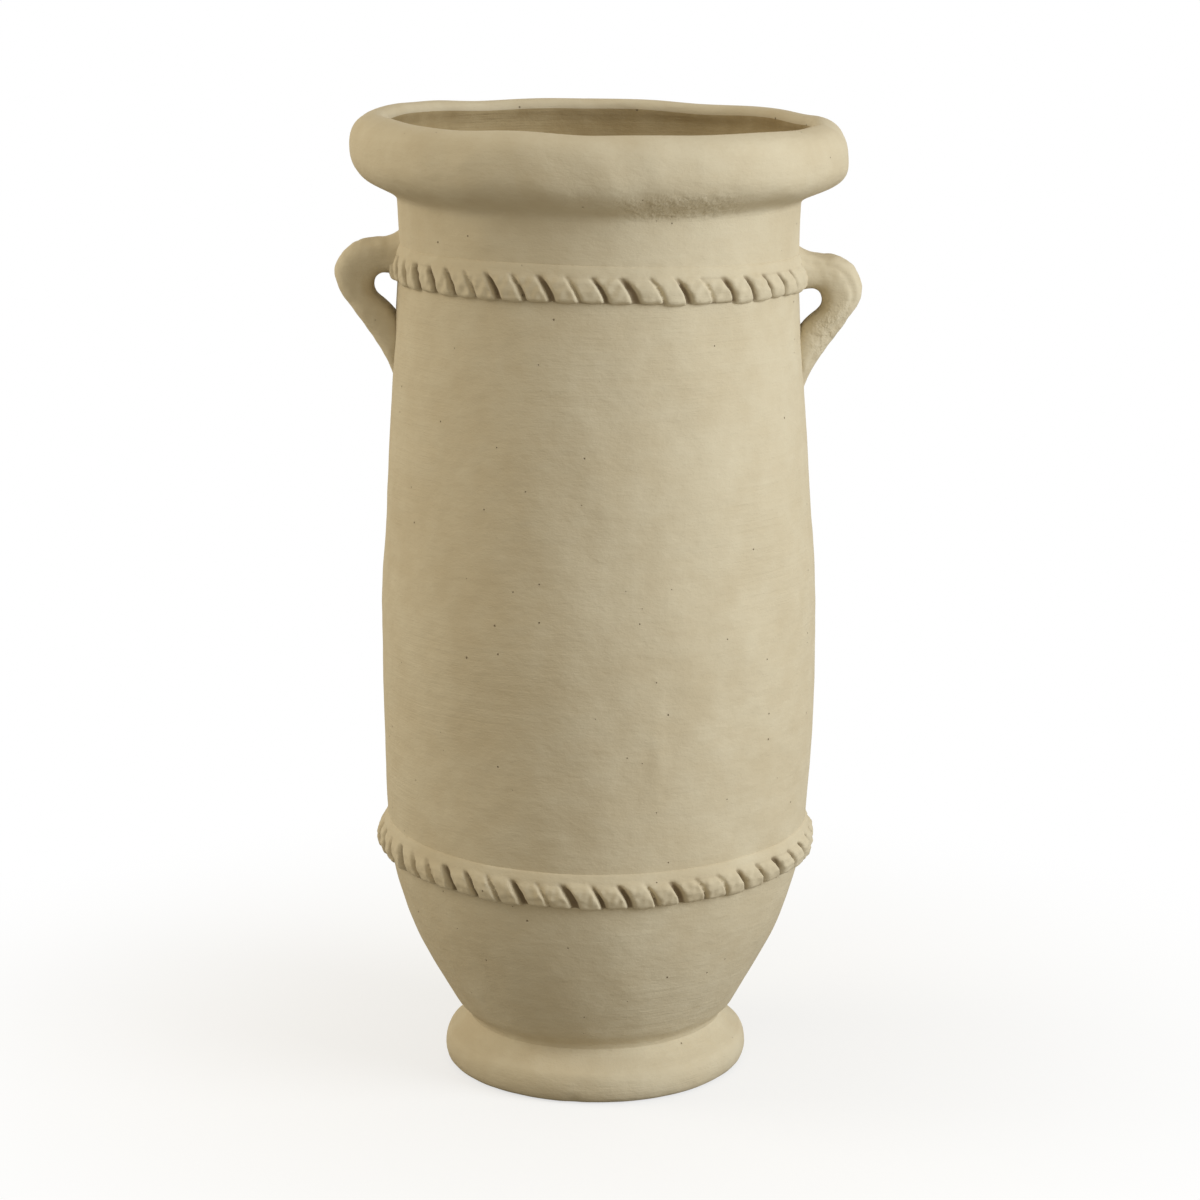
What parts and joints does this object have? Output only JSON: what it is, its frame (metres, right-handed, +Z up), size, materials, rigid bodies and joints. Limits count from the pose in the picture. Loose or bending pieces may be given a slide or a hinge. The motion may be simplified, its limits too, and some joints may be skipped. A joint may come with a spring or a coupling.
{
  "type": "floor urn planter",
  "caption": "Tall clay floor urn for plants, with a flared foot, long barrel, rolled rim, ear handles and notched rope bands.",
  "frame": {"origin": "on the floor under the centre of the foot", "axes": "+Z up, +X towards the right handle, -Y the front"},
  "size_m": [0.3296, 0.3084, 0.61],
  "materials": {
    "clay": "matt sand-coloured clay, hand-smoothed, unglazed",
    "inner_clay": "matt sand-coloured clay, rougher, unglazed"
  },
  "bodies": {
    "root": {"foot_ring": "clay", "base_slab": "inner_clay", "bowl_wall": "clay", "barrel_wall": "clay", "neck_wall": "clay", "rolled_rim": "clay", "lower_rope_band": "clay", "upper_rope_band": "clay", "left_handle": "clay", "right_handle": "clay"}
  },
  "joints": []
}
